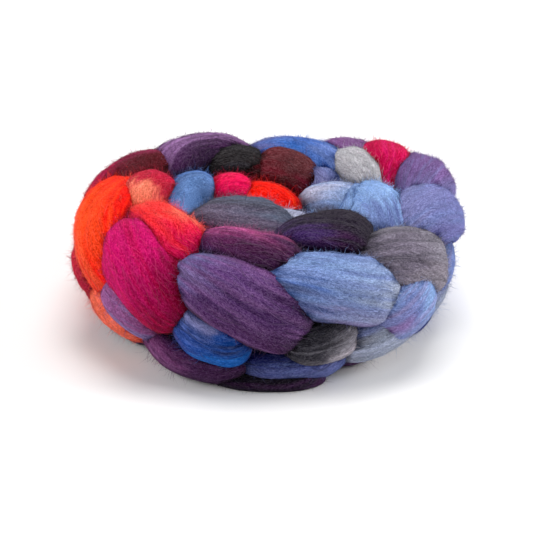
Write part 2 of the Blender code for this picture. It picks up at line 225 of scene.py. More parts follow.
# A lobe's dyes: along it at its start, middle and end, then at its right and left edges as one walks
# along it, and the heather, the dye of the odd streaks among the rest.
Dye = namedtuple("Dye", "start middle end right left heather")
DYED = {
    "orange": Dye("red", "orange", "red", "orange", "red", "orange"),
    "magenta": Dye("magenta", "magenta", "wine", "magenta", "magenta", "crimson"),
    "purple": Dye("lavender", "purple", "aubergine", "plum", "orchid", "orchid"),
    "skyblue": Dye("bluegrey", "cornflower", "mist", "lilac", "cornflower", "periwinkle"),
    "grey": Dye("darkgrey", "grey", "ash", "taupe", "ash", "darkgrey"),
    "lavender": Dye("lavender", "lavender", "wisteria", "wisteria", "lavender", "periwinkle"),
    "plumtop": Dye("lavender", "heliotrope", "orchid", "lavender", "heliotrope", "lavender"),
    "crimson": Dye("wine", "crimson", "crimson", "crimson", "crimson", "magenta"),
    "smallplum": Dye("orchid", "orchid", "mauve", "orchid", "orchid", "plum"),
    "blue": Dye("cobalt", "azure", "wisteria", "periwinkle", "lavender", "cobalt"),
    "aubergine": Dye("plum", "aubergine", "plum", "mauve", "aubergine", "plum"),
    "maroon": Dye("maroon", "maroon", "wine", "raspberry", "maroon", "maroon"),
    "peachtop": Dye("crimson", "ruby", "peach", "wine", "ruby", "ruby"),
    "coral": Dye("rose", "coral", "crimson", "crimson", "rose", "coral"),
    "plumlens": Dye("berry", "berry", "aubergine", "plum", "mauve", "plum"),
    "inkpurple": Dye("violet", "ink", "ink", "plum", "black", "ink"),
    "paleblue": Dye("powder", "powder", "periwinkle", "powder", "powder", "sky"),
    "silver": Dye("silver", "silver", "silver", "silver", "silver", "beige"),
    "redbrown": Dye("garnet", "redbrown", "garnet", "redbrown", "garnet", "redbrown"),
    "black": Dye("black", "black", "black", "darkgrey", "black", "charcoal"),
    "mauvesliver": Dye("mauve", "mauve", "berry", "lavender", "mauve", "lavender"),
    "indigobump": Dye("plum", "royal", "nightblue", "royal", "periwinkle", "royal"),
    "brownbump": Dye("charcoal", "darkgrey", "ash", "beige", "charcoal", "ash"),
    "bluebump": Dye("bluegrey", "periwinkle", "sky", "mist", "cornflower", "lilac"),
    "farred": Dye("crimson", "ruby", "wine", "rose", "wine", "crimson"),
    "coralfoot": Dye("brick", "brick", "brick", "peach", "ruby", "rose"),
    "plumfoot": Dye("berry", "plum", "aubergine", "mauve", "plum", "plum"),
    "indigofoot": Dye("ink", "dusk", "dusk", "ink", "indigo", "periwinkle"),
    "darkfoot": Dye("aubergine", "ink", "plum", "ink", "ink", "plum"),
    "greyfoot": Dye("ash", "mist", "mist", "mist", "bluegrey", "pearl"),
    "nestblue": Dye("blue", "blue", "azure", "blue", "azure", "periwinkle"),
    "nestcrimson": Dye("cherry", "cherry", "cherry", "crimson", "cherry", "cherry"),
    "nestorange": Dye("fire", "fire", "fire", "orange", "red", "orange"),
    "nestpale": Dye("pale", "pale", "sky", "pale", "pale", "sky"),
    "nestslate": Dye("slate", "slate", "slate", "heather", "slate", "darkgrey"),
    "nestmist": Dye("pale", "periwinkle", "lavender", "heather", "sky", "pale"),
    "nestcharcoal": Dye("charcoal", "darkgrey", "slate", "heather", "charcoal", "grey"),
    "nestviolet": Dye("berry", "plum", "violet", "mauve", "plum", "berry"),
    "nesttip": Dye("slate", "pale", "pale", "pale", "pale", "pearl"),
    "crescent": Dye("lavender", "lavender", "lavender", "periwinkle", "lilac", "periwinkle"),
    "innerfold": Dye("maroon", "maroon", "black", "maroon", "maroon", "black"),
}
# the same dyes repeat along the rope, so the stitches of the far side take them in the order of the front
RUNS = {
    "shoulder": ["plumtop", "mauvesliver", "farred"],
    "bulge": ["bluebump", "lavender", "smallplum", "crimson", "blue", "aubergine", "maroon", "farred"],
    "foot": ["greyfoot", "bluebump", "silver", "plumfoot", "indigobump", "purple", "magenta", "coralfoot",
             "farred"],
    "under": ["lavender", "indigofoot", "plumfoot", "aubergine", "farred", "coralfoot", "plumfoot",
              "plumfoot", "aubergine", "plumfoot", "indigofoot"],
    "inside": ["crimson", "plumlens", "nestslate", "inkpurple", "paleblue", "crescent", "innerfold"],
}

# Streaks of one dye on a lobe, a few of them painted shade or painted highlight: where across it (0 right
# edge,
# 1 left edge), how wide, and from where to where along it.
Band = namedtuple("Band", "lobe across width begin end dye strength")
BANDS = [
    # painted shade: dusk darkens skyblue's right edge over its first part
    Band("skyblue", 0.20, 0.14, -0.20, 0.62, "dusk", 0.9),
    Band("skyblue", 0.46, 0.06, 0.05, 0.60, "royal", 0.6),
    Band("skyblue", 0.58, 0.04, 0.25, 0.90, "periwinkle", 0.6),
    Band("skyblue", 0.70, 0.07, 0.20, 0.95, "sky", 0.5),
    Band("skyblue", 0.30, 0.05, 0.45, 0.95, "lilac", 0.7),
    Band("skyblue", 0.10, 0.07, 0.10, 0.60, "teal", 0.7),
    Band("purple", 0.34, 0.09, 0.12, 0.34, "bluegrey", 0.6),
    # paler lavender at purple's upper start: partly lavender fibres, partly a painted highlight
    Band("purple", 0.78, 0.30, -0.20, 0.34, "lavender", 0.6),
    # painted shade: plum darkens purple towards its right edge
    Band("purple", 0.25, 0.16, 0.30, 0.95, "plum", 0.6),
    Band("purple", 0.62, 0.05, 0.20, 0.80, "orchid", 0.5),
    Band("purple", 0.50, 0.60, 0.84, 1.20, "aubergine", 0.6),
    Band("magenta", 0.85, 0.14, 0.58, 1.10, "wine", 0.8),
    Band("magenta", 0.55, 0.10, 0.10, 0.50, "wine", 0.25),
    Band("blue", 0.62, 0.12, 0.15, 0.70, "azure", 0.9),
    Band("blue", 0.34, 0.14, 0.00, 0.50, "periwinkle", 0.7),
    Band("blue", 0.56, 0.10, 0.52, 0.84, "cerulean", 0.6),
    Band("blue", 0.84, 0.14, 0.10, 1.10, "lavender", 0.8),
    Band("bluebump", 0.48, 0.09, 0.00, 0.58, "mauve", 0.5),
    Band("bluebump", 0.52, 0.30, 0.58, 1.20, "sky", 0.8),
    Band("indigobump", 0.74, 0.15, 0.10, 0.64, "lavender", 1.0),
    Band("indigobump", 0.60, 0.03, 0.05, 0.90, "ink", 0.9),
    Band("indigobump", 0.50, 0.08, 0.20, 0.85, "indigo", 0.7),
    Band("indigobump", 0.22, 0.24, 0.38, 1.10, "cerulean", 1.0),
    Band("indigobump", 0.50, 0.60, 0.85, 1.20, "indigo", 0.8),
    Band("plumlens", 0.30, 0.12, 0.42, 1.00, "aubergine", 0.6),
    Band("plumlens", 0.62, 0.16, -0.20, 0.80, "magentapink", 1.0),
    Band("inkpurple", 0.13, 0.16, 0.00, 0.62, "violet", 0.95),
    Band("inkpurple", 0.20, 0.30, 0.60, 1.10, "ink", 0.8),
    Band("orange", 0.06, 0.16, 0.20, 1.00, "peach", 0.45),
    Band("orange", 0.26, 0.10, 0.40, 0.90, "peach", 0.4),
    Band("orange", 0.80, 0.16, 0.10, 0.75, "red", 0.8),
    Band("orange", 0.50, 0.60, 0.74, 1.30, "red", 0.5),
    Band("maroon", 0.45, 0.12, 0.10, 1.10, "raspberry", 1.0),
    Band("maroon", 0.48, 0.15, 0.58, 1.30, "crimson", 0.6),
    Band("aubergine", 0.44, 0.14, 0.20, 1.10, "mallow", 0.9),
    Band("peachtop", 0.50, 0.50, 0.58, 1.40, "peach", 0.9),
    Band("coral", 0.62, 0.14, 0.40, 0.74, "peach", 0.9),
    Band("coral", 0.30, 0.60, 0.80, 1.40, "crimson", 0.7),
    Band("redbrown", 0.80, 0.12, 0.00, 1.10, "garnet", 0.7),
    Band("redbrown", 0.55, 0.12, -0.20, 0.56, "wine", 0.9),
    Band("redbrown", 0.55, 0.12, 0.56, 1.10, "garnet", 0.8),
    Band("paleblue", 0.76, 0.12, 0.62, 1.20, "periwinkle", 0.8),
    # painted shade: dusk darkens paleblue's left edge towards its end
    Band("paleblue", 0.88, 0.14, 0.58, 1.20, "dusk", 0.9),
    # painted shade: a faint dusk band darkens lavender towards its right edge
    Band("lavender", 0.32, 0.20, 0.30, 1.10, "dusk", 0.35),
    Band("brownbump", 0.20, 0.14, 0.25, 1.20, "beige", 0.9),
    Band("brownbump", 0.42, 0.10, 0.56, 1.20, "beige", 0.8),
    Band("grey", 0.30, 0.10, 0.50, 1.10, "taupe", 0.6),
    Band("plumfoot", 0.62, 0.10, 0.05, 0.50, "mauve", 0.5),
    Band("indigofoot", 0.66, 0.10, 0.30, 1.10, "wisteria", 0.4),
    Band("nestslate", 0.25, 0.15, 0.10, 0.80, "heather", 0.6),
]


def linear(code):
    """A dye's hex code as a linear colour, by the sRGB curve."""
    parts = np.array([int(code[k : k + 2], 16) / 255 for k in (0, 2, 4)])
    return np.where(parts <= 0.04045, parts / 12.92, ((parts + 0.055) / 1.055) ** 2.4)


TONES = {name: linear(code) for name, code in DYES.items()}

# ---- Fibre grain ----
LATTICE_CELLS = 256
LATTICE = np.random.default_rng(11).random((LATTICE_CELLS, LATTICE_CELLS))
SEED_SHIFT = (17.3, 9.7)  # lattice cells from one seed's grain to the next
WANDER = 3.2  # mm, how far streaks wander sideways
WANDER_SIZE = (14, 16)  # mm across and along the fibres

# Grains drawn out along the fibres: their size across and along them in mm, and the shift of their seed.
Streak = namedtuple("Streak", "across along shift")
STREAKS = {
    "swell": Streak(9.0, 30, 0),
    "locks": Streak(3.2, 26, 1),
    "dye": Streak(2.4, 26, 5),
    "fine": Streak(0.9, 16, 6),
    "heather": Streak(1.6, 30, 7),
}


def grain(x, y, seed):
    """Smooth value noise in 0..1 on a fixed lattice."""
    x, y = x + SEED_SHIFT[0] * seed, y + SEED_SHIFT[1] * seed
    i, j = np.floor(x).astype(int), np.floor(y).astype(int)
    fx, fy = smooth(x - i), smooth(y - j)

    def corner(a, b):
        return LATTICE[(i + a) % LATTICE_CELLS, (j + b) % LATTICE_CELLS]

    low = corner(0, 0) * (1 - fx) + corner(1, 0) * fx
    high = corner(0, 1) * (1 - fx) + corner(1, 1) * fx
    return low * (1 - fy) + high * fy


def streak(kind, u, v, seed):
    """A named grain at u across and v along the fibres in mm, about 0.5 in the mean."""
    across, along, shift = STREAKS[kind]
    wander = WANDER * grain(u / WANDER_SIZE[0], v / WANDER_SIZE[1], seed + shift + 3)
    return grain((u + wander) / across, v / along, seed + shift)


def between(value, begin, end, fade):
    """1 from begin to end and 0 outside them, with soft ends."""
    return smooth((value - begin) / fade) * smooth((end - value) / fade)


# Long folds pressed into a lobe: where they lie across it at their start and end (0 right edge, 1 left
# edge), their half-width and depth in mm, and from where to where along it they run.
Groove = namedtuple("Groove", "lobe across0 across1 half depth begin end")
GROOVES = [
    Groove("purple", 0.62, 0.42, 1.3, 1.5, 0.18, 0.80),
    Groove("purple", 0.45, 0.30, 1.1, 1.3, 0.10, 0.72),
    Groove("purple", 0.30, 0.20, 0.9, 1.0, 0.30, 0.90),
    Groove("purple", 0.74, 0.62, 0.8, 0.7, 0.45, 0.95),
    Groove("skyblue", 0.50, 0.40, 0.9, 0.8, 0.05, 0.62),
    Groove("skyblue", 0.28, 0.18, 1.0, 1.0, 0.12, 0.75),
    Groove("skyblue", 0.68, 0.60, 0.7, 0.5, 0.35, 0.90),
    Groove("magenta", 0.40, 0.55, 1.0, 0.8, 0.35, 0.90),
    Groove("magenta", 0.66, 0.72, 0.9, 0.7, 0.20, 0.80),
    Groove("inkpurple", 0.42, 0.36, 1.0, 1.0, 0.20, 0.85),
    Groove("inkpurple", 0.22, 0.18, 0.9, 0.8, 0.20, 0.80),
    Groove("plumlens", 0.40, 0.34, 0.9, 0.9, 0.25, 0.85),
    Groove("orange", 0.55, 0.45, 1.0, 0.8, 0.20, 0.80),
    Groove("brownbump", 0.55, 0.45, 0.8, 0.8, 0.10, 0.85),
    Groove("indigobump", 0.72, 0.70, 0.7, 1.1, 0.05, 0.85),
    Groove("grey", 0.45, 0.40, 0.9, 0.6, 0.25, 0.85),
]


SWELL = 1.1  # mm, height of the slow swell of the locks
LOCKS = 0.75  # mm, height of the fine locks
FULL_WIDTH = 14.0  # mm, half-width from which a lobe's relief has its full height
FACE_SHARE = 0.85  # width of a lobe's face as a share of half its round
GROOVE_FADE = 0.15
GROOVE_WANDER = 1.4  # mm


def relief(lobe, across, along, u, v, seed):
    """Height of the fibre bundles in mm: a slow swell, fine locks and the named grooves."""
    swell = streak("swell", u, v, seed) - 0.5
    locks = streak("locks", u, v, seed) - 0.5
    height = min(1, lobe.w / FULL_WIDTH) * (SWELL * swell + LOCKS * locks)
    wander = GROOVE_WANDER * (grain(v / 13, v / 31, seed + 9) - 0.5)
    for groove in GROOVES:
        if groove.lobe == lobe.name:
            line = groove.across0 + (groove.across1 - groove.across0) * along
            off = (across - line) * math.pi * lobe.w * FACE_SHARE + wander
            span = between(along, groove.begin, groove.end, GROOVE_FADE)
            height = height - groove.depth * span * np.exp(-((off / groove.half) ** 2))
    return height


# ---- Lobes ----
Patch = namedtuple("Patch", "points normals along across spin u v seed lobe")
FLOOR_GAP = 0.25  # mm, the least height of a lobe over the table
SIDE_LEAD = np.radians(15)  # how far the finer columns reach round past a lobe's two sides
RELIEF_START, RELIEF_END = 6, 7  # mm, over which the relief fades in and out at a lobe's ends


def surface(lobe, seed, stations, outer, inner):
    """The lobe's surface as a grid, finer over its outward half, with the fibre relief on it."""
    centre, side, out, w, t = lobe_frames(lobe, stations)
    far = np.concatenate([[0], np.cumsum(np.linalg.norm(np.diff(centre, axis=0), axis=1))])
    spin = np.concatenate([
        np.linspace(-SIDE_LEAD, math.pi + SIDE_LEAD, outer, endpoint=False),
        np.linspace(math.pi + SIDE_LEAD, 2 * math.pi - SIDE_LEAD, inner, endpoint=False),
    ])
    c, s = np.cos(spin), np.sin(spin)
    w, t = np.maximum(w, 1e-3)[:, None], np.maximum(t, 1e-3)[:, None]
    base = centre[:, None] + side[:, None] * (w * c)[..., None] + out[:, None] * (t * s)[..., None]
    normal = side[:, None] * (c / w)[..., None] + out[:, None] * (s / t)[..., None]
    normal /= np.linalg.norm(normal, axis=-1, keepdims=True)
    turned = spin / math.pi
    across = np.broadcast_to(np.where(turned > 1.5, turned - 2, turned), w.shape[:1] + c.shape)
    v = np.broadcast_to(far[:, None], across.shape)
    # the underside has a fibre coordinate of its own
    u = np.where(s >= 0, spin, -spin * 0.9) * lobe.w * 1.1 + 0 * v
    lift = relief(lobe, across, v / far[-1], u, v, seed)
    ends = smooth(v / RELIEF_START) * smooth((far[-1] - v) / RELIEF_END)
    points = base + normal * (lift * ends)[..., None]
    points[..., 2] = np.maximum(points[..., 2], FLOOR_GAP)
    return Patch(points, normal, v / far[-1], across, spin, u, v, seed, lobe)


RIGHT_EDGE, LEFT_EDGE = 0.32, 0.68  # where across a lobe its edge dyes begin
EDGE_FADE = 0.26
BAND_FADE = 0.12
HEATHER_SHARE = 0.55


def laid_over(tone, dye, share):
    """A colour with a share of a named dye over it."""
    share = share[..., None]
    return tone * (1 - share) + TONES[dye] * share


def tint(patch):
    """The dyes of a patch, with the painted shade and highlight of some bands, as linear colours."""
    name = patch.lobe.name
    if name not in DYED:
        kind = name.rstrip("0123456789")
        name = RUNS[kind][int(name[len(kind):])]
    dye = DYED[name]
    wavy = streak("dye", patch.u, patch.v, patch.seed) - 0.5
    fine = streak("fine", patch.u, patch.v, patch.seed) - 0.5
    along = np.clip(patch.along + 0.22 * wavy, 0, 1)
    across = patch.across + 0.20 * wavy + 0.08 * fine
    tone = laid_over(TONES[dye.start], dye.middle, smooth(along / 0.5))
    tone = laid_over(tone, dye.end, smooth((along - 0.5) / 0.5))
    tone = laid_over(tone, dye.right, smooth((RIGHT_EDGE - across) / EDGE_FADE))
    tone = laid_over(tone, dye.left, smooth((across - LEFT_EDGE) / EDGE_FADE))
    for band in BANDS:
        if band.lobe == patch.lobe.name:
            near = np.exp(-(((across - band.across) / band.width) ** 2))
            span = between(along, band.begin, band.end, BAND_FADE)
            tone = laid_over(tone, band.dye, near * span * band.strength)
    odd = smooth((streak("heather", patch.u, patch.v, patch.seed) - 0.60) / 0.25) * HEATHER_SHARE
    tone = laid_over(tone, dye.heather, odd)
    light = 1 + 0.30 * fine + 0.16 * wavy
    return np.clip(tone * light[..., None], 0.002, 1)


def ring_faces(rows, cols):
    """Quads between the rings of a closed tube."""
    i, j = np.meshgrid(np.arange(rows - 1), np.arange(cols), indexing="ij")
    k = (j + 1) % cols
    return np.stack([i * cols + j, i * cols + k, (i + 1) * cols + k, (i + 1) * cols + j], -1).reshape(-1, 4)


def pole_faces(rows, cols):
    """Fans from a tube's first and last rings to its two poles, which come last in its points."""
    j = np.arange(cols)
    k = (j + 1) % cols
    first, last = rows * cols, rows * cols + 1
    low = np.stack([np.full(cols, first), k, j], -1)
    high = np.stack([np.full(cols, last), (rows - 1) * cols + j, (rows - 1) * cols + k], -1)
    return np.concatenate([low, high])


class Mesh:
    """Gathers points, faces, colours and fibre coordinates for one piece."""

    def __init__(self):
        self.points, self.quads, self.tris, self.tones, self.uvs = [], [], [], [], []
        self.count = 0

    def add(self, points, quads, tris, tones, uvs):
        self.points.append(points)
        self.tones.append(tones)
        self.uvs.append(uvs)
        if len(quads):
            self.quads.append(quads + self.count)
        if len(tris):
            self.tris.append(tris + self.count)
        self.count += len(points)

    def make(self, name, material):
        points = np.concatenate(self.points) * MM
        quads = np.concatenate(self.quads) if self.quads else np.zeros((0, 4), int)
        tris = np.concatenate(self.tris) if self.tris else np.zeros((0, 3), int)
        corners = np.concatenate([quads.ravel(), tris.ravel()]).astype(np.int32)
        sizes = np.concatenate([np.full(len(quads), 4), np.full(len(tris), 3)])
        starts = np.concatenate([[0], np.cumsum(sizes)[:-1]]).astype(np.int32)
        mesh = bpy.data.meshes.new(name)
        mesh.vertices.add(len(points))
        mesh.vertices.foreach_set("co", points.astype(np.float32).ravel())
        mesh.loops.add(len(corners))
        mesh.loops.foreach_set("vertex_index", corners)
        mesh.polygons.add(len(sizes))
        mesh.polygons.foreach_set("loop_start", starts)
        mesh.update(calc_edges=True)
        mesh.validate()
        mesh.polygons.foreach_set("use_smooth", np.ones(len(sizes), bool))
        # the dye attribute holds the dyes together with their painted crease shade
        tones = np.concatenate(self.tones)
        dye = mesh.color_attributes.new("dye", "FLOAT_COLOR", "POINT")
        dye.data.foreach_set("color", np.c_[tones, np.ones(len(tones))].astype(np.float32).ravel())
        uvs = np.concatenate(self.uvs)
        fibre = mesh.uv_layers.new(name="fibre")
        fibre.data.foreach_set("uv", uvs[corners].astype(np.float32).ravel())
        mesh.materials.append(material)
        piece = bpy.data.objects.new(name, mesh)
        bpy.context.scene.collection.objects.link(piece)
        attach(piece, "root")
        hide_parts("roving_braid")


def add_lobe(mesh, patch, tones):
    """One lobe as a closed tube, its first and last rings drawn to poles."""
    p = patch.points[1:-1]
    rows, cols = p.shape[:2]
    poles = np.stack([patch.points[0].mean(0), patch.points[-1].mean(0)])
    ends = np.stack([tones[0].mean(0), tones[-1].mean(0)])
    uv = np.stack([patch.u, patch.v], -1)
    mesh.add(
        np.concatenate([p.reshape(-1, 3), poles]), ring_faces(rows, cols), pole_faces(rows, cols),
        np.concatenate([tones[1:-1].reshape(-1, 3), ends]),
        np.concatenate([uv[1:-1].reshape(-1, 2), uv[0, :1], uv[-1, :1]]),
    )


def tree_of(patches):
    """The stitches' surfaces, to find what stands over what."""
    points, faces, base = [], [], 0
    for patch in patches:
        rows, cols = patch.points.shape[:2]
        points.append(patch.points.reshape(-1, 3))
        faces.append(ring_faces(rows, cols) + base)
        base += rows * cols
    return BVHTree.FromPolygons(np.concatenate(points).tolist(), np.concatenate(faces).tolist())


def lookup(values, row, col):
    """Values of a grid between its points: rows stop at its ends, and columns run round."""
    rows, cols = values.shape[:2]
    row = np.clip(row, 0, rows - 1.001)
    i, j = np.floor(row).astype(int), np.floor(col).astype(int)
    fi, fj = (row - i)[..., None], (col - j)[..., None]
    j, k = j % cols, (j + 1) % cols
    low = values[i, j] * (1 - fj) + values[i, k] * fj
    high = values[i + 1, j] * (1 - fj) + values[i + 1, k] * fj
    return low * (1 - fi) + high * fi


DEPTH_REACH = 14.0  # mm, how far a neighbour's closeness still adds painted shade
DEPTH_STEP = 2  # every second ring and column is tested
DEPTH_RAYS = 6
DEPTH_LEANS = (1.5, 0.7)  # how far the rays lean off the normal, by turns
DEPTH_START = 0.8  # mm off the surface
DEPTH_GAIN = 2.0
PAINTED_SHADE = 0.5  # how much richer and darker the painted shade makes the dye in the deepest folds


def paint_crease_shade(patch, tree):
    """The patch's dyes with painted shade: richer and darker where neighbours crowd round a place, standing
    in for the shade in the folds.
    """
    rows = np.arange(0, patch.points.shape[0], DEPTH_STEP)
    cols = np.arange(0, patch.points.shape[1], DEPTH_STEP)
    crowd = np.zeros((len(rows), len(cols)))
    bearings = np.linspace(0, 2 * math.pi, DEPTH_RAYS, endpoint=False)
    for i, row in enumerate(rows):
        for j, col in enumerate(cols):
            normal = Vector(patch.normals[row, col])
            start = Vector(patch.points[row, col]) + normal * DEPTH_START
            one = normal.orthogonal().normalized()
            two = normal.cross(one)
            for k, turn in enumerate(bearings):
                lean = DEPTH_LEANS[k % 2]
                ray = (normal + (one * math.cos(turn) + two * math.sin(turn)) * lean).normalized()
                hit = tree.ray_cast(start, ray, DEPTH_REACH)
                if hit[0] is not None:
                    crowd[i, j] += (1 - hit[3] / DEPTH_REACH) / DEPTH_RAYS
    row = np.arange(patch.points.shape[0]) / DEPTH_STEP
    col = np.arange(patch.points.shape[1]) / DEPTH_STEP
    row, col = np.meshgrid(np.minimum(row, len(rows) - 1), col, indexing="ij")
    # painted shade: the crowding of neighbours darkens the dye
    crease_shade = np.clip(lookup(crowd[..., None], row, col) * DEPTH_GAIN, 0, 1)
    return tint(patch) ** (1 + PAINTED_SHADE * crease_shade) * (1 - PAINTED_SHADE * crease_shade)


# ---- Materials ----
def node(tree, kind, **values):
    made = tree.nodes.new(kind)
    for key, value in values.items():
        if key in made.inputs:
            made.inputs[key].default_value = value
        else:
            setattr(made, key, value)
    return made


def principled(name, **values):
    """A new material, its node tree and its shader with the given inputs."""
    material = bpy.data.materials.new(name)
    material.use_nodes = True
    shader = material.node_tree.nodes["Principled BSDF"]
    for key, value in values.items():
        shader.inputs[key.replace("_", " ")].default_value = value
    return material, material.node_tree, shader


SPREAD = 0.24  # how much lighter and darker than its dye a fibre is
GLINT = 0.085  # how far the painted glint on single fibres stands out, which shows most on the dark dyes
GLINT_GAMMA = 0.36  # a low gamma keeps the dye's hue in the glint and makes it pale
RAISED = 0.0003  # m, height of the fibres in the bump

# Grains of the fibres: width and length in mm, and degrees off the lobe's own line.
Grain = namedtuple("Grain", "across along turn")
FRIZZ = [Grain(1.5, 3.6, 8), Grain(1.3, 2.6, 37), Grain(1.3, 2.6, -33), Grain(1.2, 1.9, 78)]
FRIZZ_LINE = 0.055  # how near its middle value the noise is a line
SOFT = Grain(0.5, 2.6, -6)
SPECKS = Grain(0.5, 0.8, 21)
FRIZZ_SHARE, SOFT_SHARE, SPECK_SHARE = 0.22, 0.8, 0.9  # of each in the mixed grain


def wool():
    """Dyed wool: the dye from the mesh with its painted crease shade, crimped fibres as fine bright lines, a
    painted glint on single fibres, bump from the same, sheen.
    """
    material, tree, shader = principled(
        "dyed_wool", Roughness=0.9, Specular_IOR_Level=0.0, Sheen_Weight=0.05, Sheen_Roughness=0.45,
        Sheen_Tint=(1.0, 0.97, 0.98, 1.0))
    dye = node(tree, "ShaderNodeVertexColor", layer_name="dye")
    fibre = node(tree, "ShaderNodeUVMap", uv_map="fibre")
    links = tree.links

    def noise(size, detail, warp):
        """Noise with a grain's width and length, turned off the lobe's own line."""
        scaled = node(tree, "ShaderNodeMapping", vector_type="TEXTURE")
        scaled.inputs["Location"].default_value = (3.7 * size.turn, 1.9 * size.turn, 0)
        scaled.inputs["Rotation"].default_value = (0, 0, math.radians(size.turn))
        scaled.inputs["Scale"].default_value = (size.across, size.along, 1.0)
        links.new(fibre.outputs["UV"], scaled.inputs["Vector"])
        made = node(tree, "ShaderNodeTexNoise", Scale=1.0, Detail=detail, Roughness=0.6, Distortion=warp)
        links.new(scaled.outputs["Vector"], made.inputs["Vector"])
        return made.outputs["Fac"]

    def ranged(value, low, high, first, last):
        made = node(tree, "ShaderNodeMapRange")
        for key, number in (("From Min", low), ("From Max", high), ("To Min", first), ("To Max", last)):
            made.inputs[key].default_value = number
        links.new(value, made.inputs["Value"])
        return made.outputs["Result"]

    def math_node(operation, one, other):
        made = node(tree, "ShaderNodeMath", operation=operation)
        for socket, value in zip(made.inputs, (one, other)):
            if isinstance(value, float):
                socket.default_value = value
            else:
                links.new(value, socket)
        return made.outputs[0]

    def scaled_by(colour, factor):
        made = node(tree, "ShaderNodeVectorMath", operation="SCALE")
        links.new(colour, made.inputs[0])
        links.new(factor, made.inputs["Scale"])
        return made.outputs["Vector"]

    def frizz(size):
        """Crimped fibres: bright where the noise crosses its middle, so each grain edge is a curled line."""
        middle = math_node("ABSOLUTE", math_node("SUBTRACT", noise(size, 1.0, 0.6), 0.5), 0.0)
        return ranged(middle, 0.0, FRIZZ_LINE, 1.0, 0.0)

    lines = frizz(FRIZZ[0])
    for size in FRIZZ[1:]:
        lines = math_node("ADD", lines, frizz(size))
    soft = math_node("MULTIPLY", noise(SOFT, 2.0, 0.2), SOFT_SHARE)
    specks = math_node("MULTIPLY", noise(SPECKS, 1.0, 0.4), SPECK_SHARE)
    lines = math_node("MULTIPLY", lines, FRIZZ_SHARE)
    mixed = math_node("ADD", lines, math_node("ADD", soft, specks))
    tinted = scaled_by(dye.outputs["Color"], ranged(mixed, 0.80, 1.40, 1 - SPREAD, 1 + SPREAD))
    # painted highlight: a pale copy of the dye is added to the base colour where the grain is high, and a
    # little is taken off where it is low
    pale = node(tree, "ShaderNodeGamma", Gamma=GLINT_GAMMA)
    links.new(dye.outputs["Color"], pale.inputs["Color"])
    glint = scaled_by(pale.outputs["Color"], ranged(mixed, 0.85, 1.40, -GLINT * 0.6, GLINT))
    lit = node(tree, "ShaderNodeVectorMath", operation="ADD")
    links.new(tinted, lit.inputs[0])
    links.new(glint, lit.inputs[1])
    links.new(lit.outputs["Vector"], shader.inputs["Base Color"])
    raised = node(tree, "ShaderNodeBump", Strength=0.5, Distance=RAISED)
    links.new(mixed, raised.inputs["Height"])
    links.new(raised.outputs["Normal"], shader.inputs["Normal"])
    return material


def loose_wool():
    """The loose fibres: each its own dye, a little smoother than the lobes."""
    material, tree, shader = principled(
        "wool_fuzz", Roughness=0.75, Specular_IOR_Level=0.1, Sheen_Weight=0.05)
    dye = node(tree, "ShaderNodeVertexColor", layer_name="dye")
    tree.links.new(dye.outputs["Color"], shader.inputs["Base Color"])
    return material


# ---- Loose fibres ----
rng = np.random.default_rng(5)


def unit(v):
    return v / (np.linalg.norm(v, axis=-1, keepdims=True) + 1e-9)


FIBRE_SIDES = 3


def fibres(mesh, path, radii, tones):
    """Closed three-sided tapered tubes along many short paths (fibre, station, xyz)."""
    n, m = path.shape[:2]
    ahead = unit(np.gradient(path, axis=1))
    ref = np.where(np.abs(ahead[..., 2:3]) < 0.9, [[[0.0, 0, 1]]], [[[1.0, 0, 0]]])
    side = np.cross(ahead, ref)
    side /= np.linalg.norm(side, axis=-1, keepdims=True)
    up = np.cross(side, ahead)
    rings = []
    for k in range(FIBRE_SIDES):
        a = 2 * math.pi * k / FIBRE_SIDES
        offset = side * math.cos(a) + up * math.sin(a)
        rings.append(path[:, :-1] + offset[:, :-1] * radii[:, :-1, None])
    ring = np.stack(rings, 2)  # fibre, station, corner
    points = np.concatenate([ring.reshape(n, -1, 3), path[:, -1:]], 1)
    per = points.shape[1]
    quads, tris = [], [(0, 2, 1)]
    sides = [(k, (k + 1) % FIBRE_SIDES) for k in range(FIBRE_SIDES)]
    last = FIBRE_SIDES * (m - 2)
    for low in range(0, last, FIBRE_SIDES):
        high = low + FIBRE_SIDES
        quads += [(low + k, low + after, high + after, high + k) for k, after in sides]
    tris += [(last + k, last + after, per - 1) for k, after in sides]
    base = (np.arange(n) * per)[:, None, None]
    quads = (np.array(quads)[None] + base).reshape(-1, 4) if quads else np.zeros((0, 4), int)
    tris = (np.array(tris)[None] + base).reshape(-1, 3)
    tone = np.repeat(tones, per, axis=0)
    mesh.add(points.reshape(-1, 3), quads, tris, tone, np.zeros((n * per, 2)))


HAIRY = (-0.15 * math.pi, 1.15 * math.pi)  # the outward part of a lobe's round, where fibres stand
HAIRY_SHARE = 0.6  # of a lobe's area
UNDER = -0.35  # a normal that points down more than this is on the underside
UNDER_SHARE = 0.3  # of the fibres there that are kept
RAY_START = 0.9  # mm off the surface


def sample(patch, count):
    """Places on the patch's outward part: row and column as fractions, evenly by area."""
    p = patch.points
    cols = np.where((patch.spin >= HAIRY[0]) & (patch.spin <= HAIRY[1]))[0][:-1]
    a = np.linalg.norm(p[1:, :][:, cols] - p[:-1, :][:, cols], axis=-1)
    b = np.linalg.norm(p[:-1, :][:, (cols + 1) % p.shape[1]] - p[:-1, :][:, cols], axis=-1)
    area = (a * b).ravel()
    pick = rng.choice(len(area), count, p=area / area.sum())
    i, j = np.unravel_index(pick, a.shape)
    return i + rng.random(count), cols[j] + rng.random(count)


def clear_of(tree, points, normals, room):
    """True where nothing stands over the point within the room, in mm."""
    free = np.ones(len(points), bool)
    for k in range(len(points)):
        start = points[k] + normals[k] * RAY_START
        free[k] = tree.ray_cast(Vector(start), Vector(normals[k]), room)[0] is None
    return free


def area_of(patch):
    p = patch.points
    a = np.linalg.norm(p[1:] - p[:-1], axis=-1)
    b = np.linalg.norm(np.roll(p, -1, 1) - p, axis=-1)[:-1]
    return float((a * b).sum())


Roots = namedtuple("Roots", "count row col place normal ahead tones")


